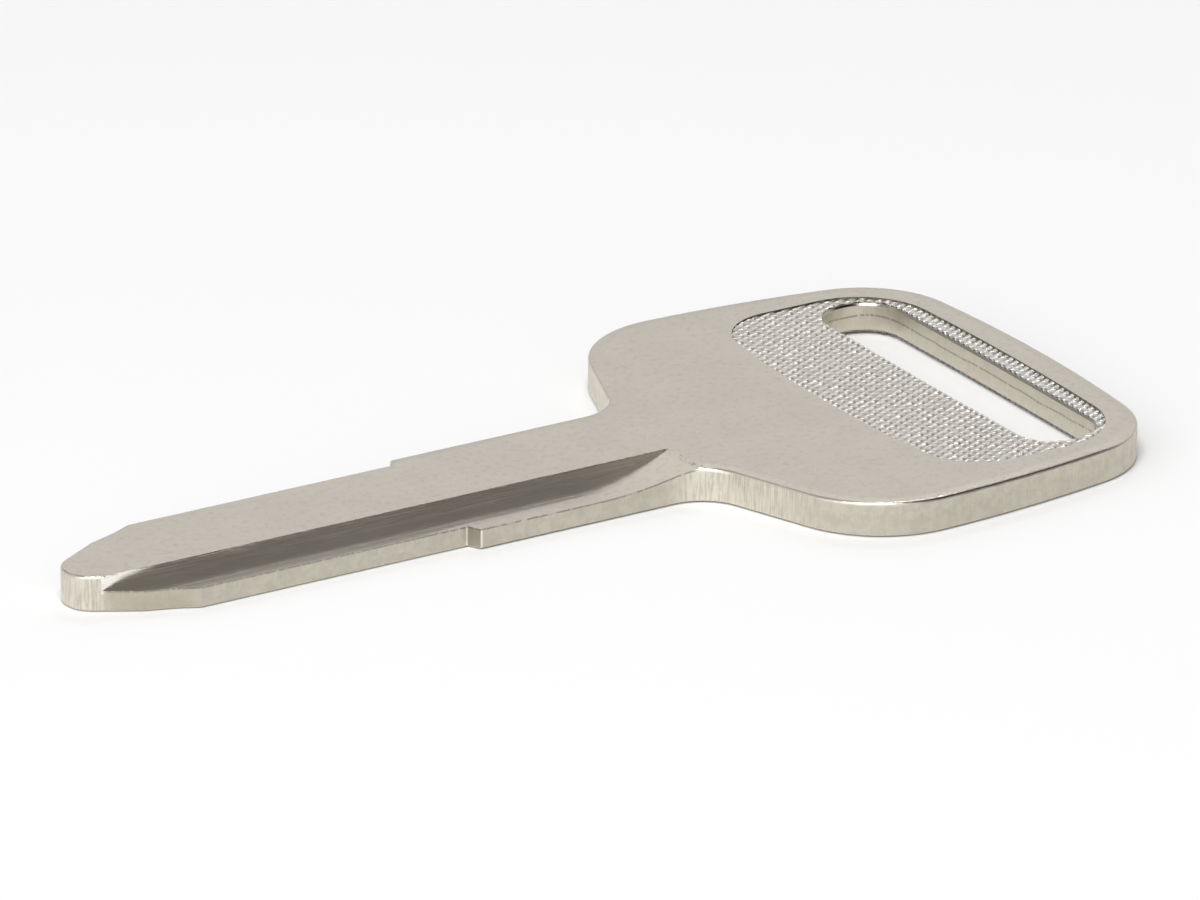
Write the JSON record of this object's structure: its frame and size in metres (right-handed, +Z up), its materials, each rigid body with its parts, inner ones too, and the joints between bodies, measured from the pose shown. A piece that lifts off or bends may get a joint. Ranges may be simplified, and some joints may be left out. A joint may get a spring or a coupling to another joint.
{
  "type": "key blank",
  "caption": "Uncut metal key blank: stepped blade with a milled groove along each face, and a wide rounded bow with sunk knurled grip panels round a long key-ring slot.",
  "frame": {"origin": "middle of the key's bounding box on its underside", "axes": "+X from the blade's tip to the end of the bow, +Z up out of the face that shows its groove at -Y"},
  "size_m": [0.0672, 0.0334, 0.0022],
  "materials": {
    "nickel_plated_brass": "satin nickel plate over brass"
  },
  "bodies": {
    "root": {"key_blank": "nickel_plated_brass"}
  },
  "joints": []
}
